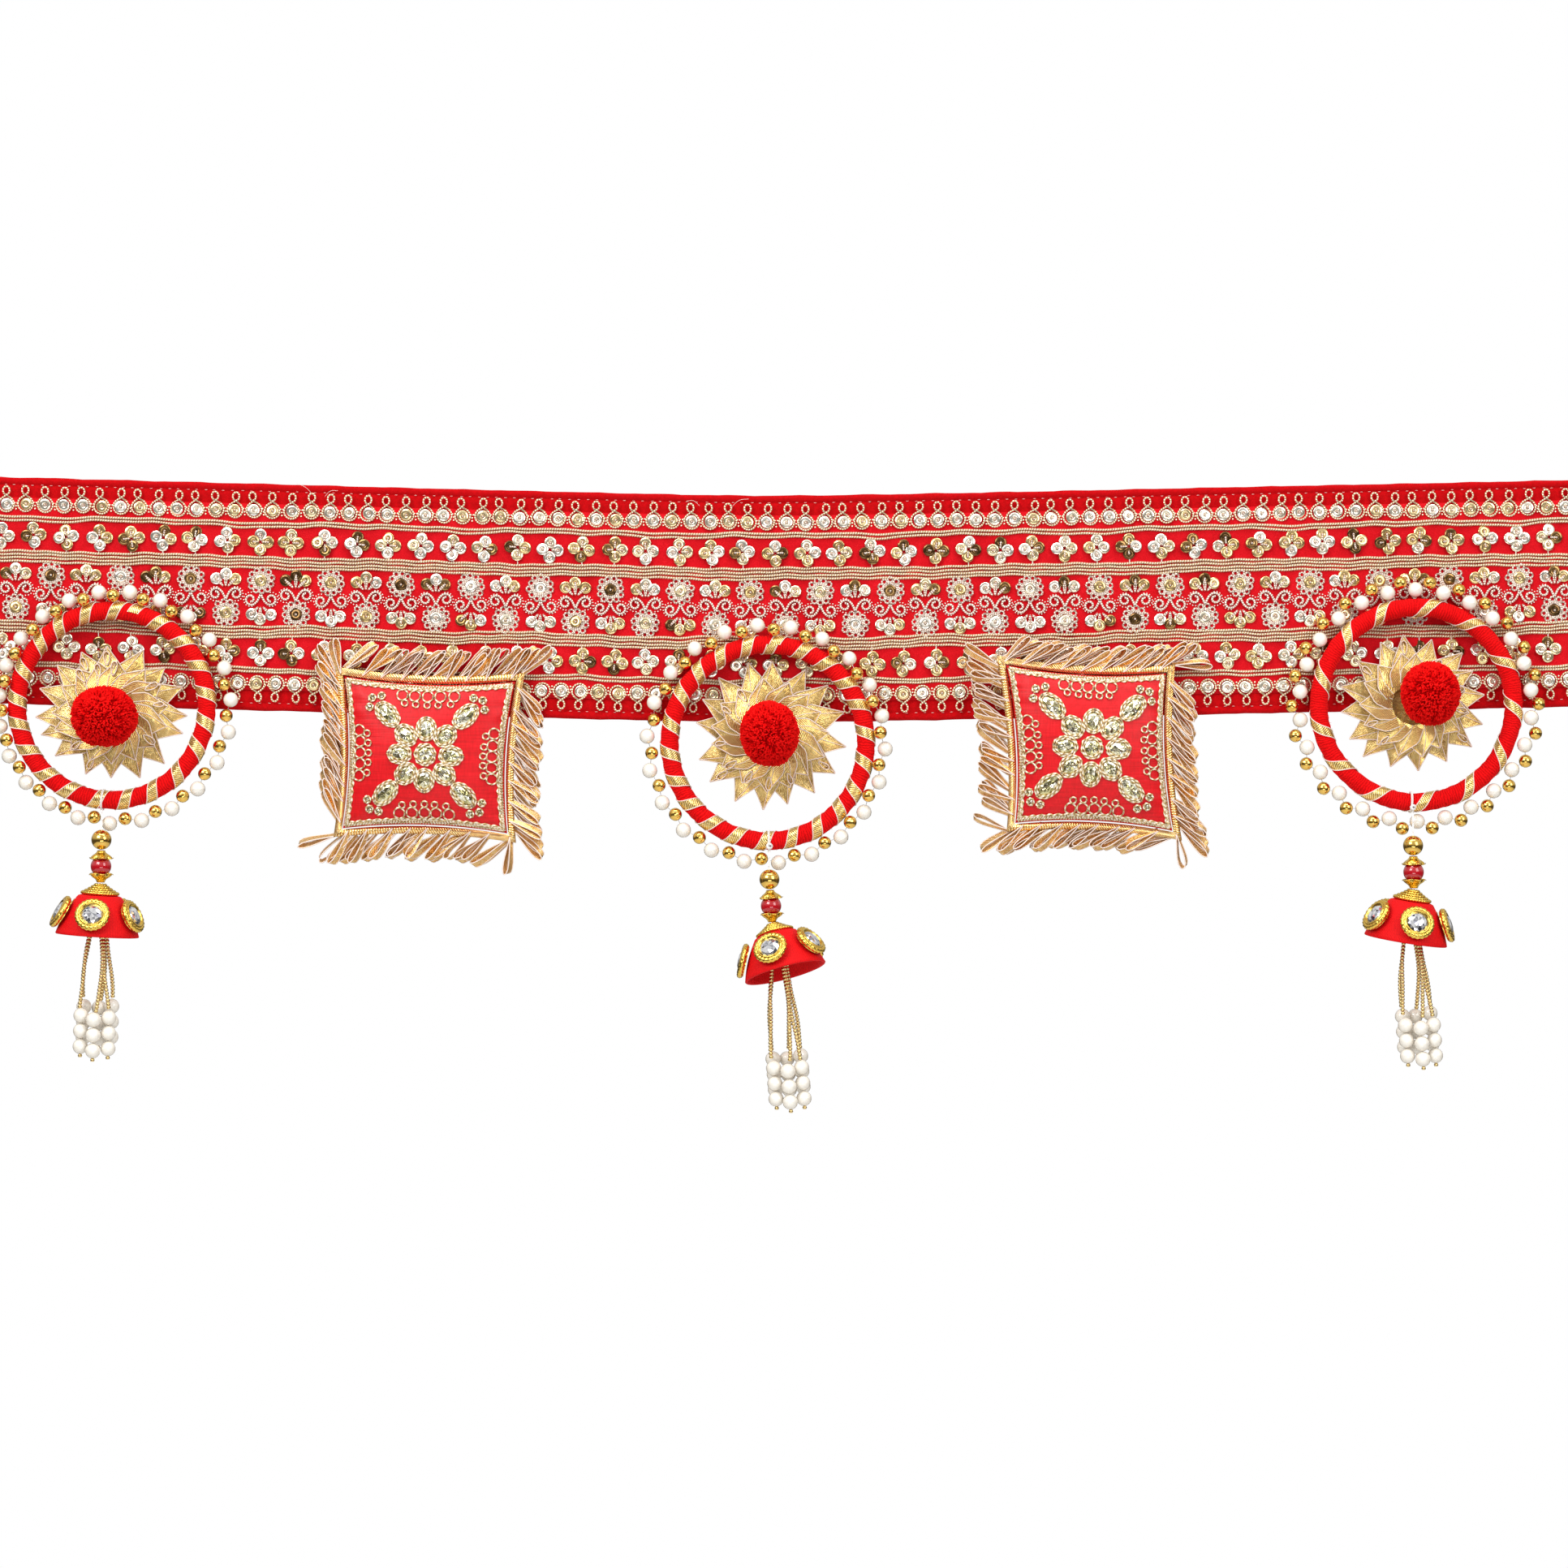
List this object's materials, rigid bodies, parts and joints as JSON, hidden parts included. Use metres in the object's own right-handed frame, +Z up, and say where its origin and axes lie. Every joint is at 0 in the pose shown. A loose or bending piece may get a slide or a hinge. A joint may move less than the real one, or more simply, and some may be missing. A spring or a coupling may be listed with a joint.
{
  "type": "toran door hanging",
  "caption": "Embroidered fabric toran for hanging over a doorway, with wrapped rings, ribbon flowers, small cushions and beaded bell drops along its lower edge.",
  "frame": {"origin": "middle of the band's top edge, in the middle of the backing cloth's thickness, where the hanging is held up", "axes": "+X along the band to the right as seen from the front, +Y towards the wall behind it, +Z up; the decorated face looks along -Y"},
  "size_m": [0.6432, 0.0402, 0.2511],
  "materials": {
    "red_velvet": "red velvet",
    "red_lace": "red net with gold embroidery",
    "red_yarn": "red wool yarn",
    "red_silk": "red slub silk",
    "gold_ribbon": "woven metallic gold ribbon",
    "gold_plate": "gold plated",
    "pearl": "imitation pearl",
    "red_glass": "glossy red bead",
    "white_thread": "white cotton thread"
  },
  "bodies": {
    "root": {"band_backing": "red_velvet", "bead_gold_centre": "gold_plate", "bead_gold_left": "gold_plate", "bead_gold_right": "gold_plate", "bead_red_centre": "red_glass", "bead_red_left": "red_glass", "bead_red_right": "red_glass", "bead_string_centre": "pearl", "bead_string_left": "pearl", "bead_string_right": "pearl", "cap_low_centre": "gold_plate", "cap_low_left": "gold_plate", "cap_low_right": "gold_plate", "cap_top_centre": "gold_plate", "cap_top_left": "gold_plate", "cap_top_right": "gold_plate", "cone_centre": "gold_plate", "cone_left": "gold_plate", "cone_right": "gold_plate", "cushion_left": "red_silk", "cushion_right": "red_silk", "dome_centre": "red_silk", "dome_left": "red_silk", "dome_right": "red_silk", "flower_centre": "gold_ribbon", "flower_left": "gold_ribbon", "flower_right": "gold_ribbon", "fringe_left": "gold_ribbon", "fringe_right": "gold_ribbon", "lace_panel": "red_lace", "pompom_centre": "red_yarn", "pompom_left": "red_yarn", "pompom_right": "red_yarn", "ring_centre": "red_yarn", "ring_left": "red_yarn", "ring_right": "red_yarn", "strands_centre": "gold_plate", "strands_left": "gold_plate", "strands_right": "gold_plate", "stud_centre_1": "gold_plate", "stud_centre_2": "gold_plate", "stud_centre_3": "gold_plate", "stud_centre_4": "gold_plate", "stud_centre_5": "gold_plate", "stud_left_1": "gold_plate", "stud_left_2": "gold_plate", "stud_left_3": "gold_plate", "stud_left_4": "gold_plate", "stud_left_5": "gold_plate", "stud_right_1": "gold_plate", "stud_right_2": "gold_plate", "stud_right_3": "gold_plate", "stud_right_4": "gold_plate", "stud_right_5": "gold_plate", "tie_centre": "white_thread", "tie_left": "white_thread", "tie_right": "white_thread"}
  },
  "joints": []
}
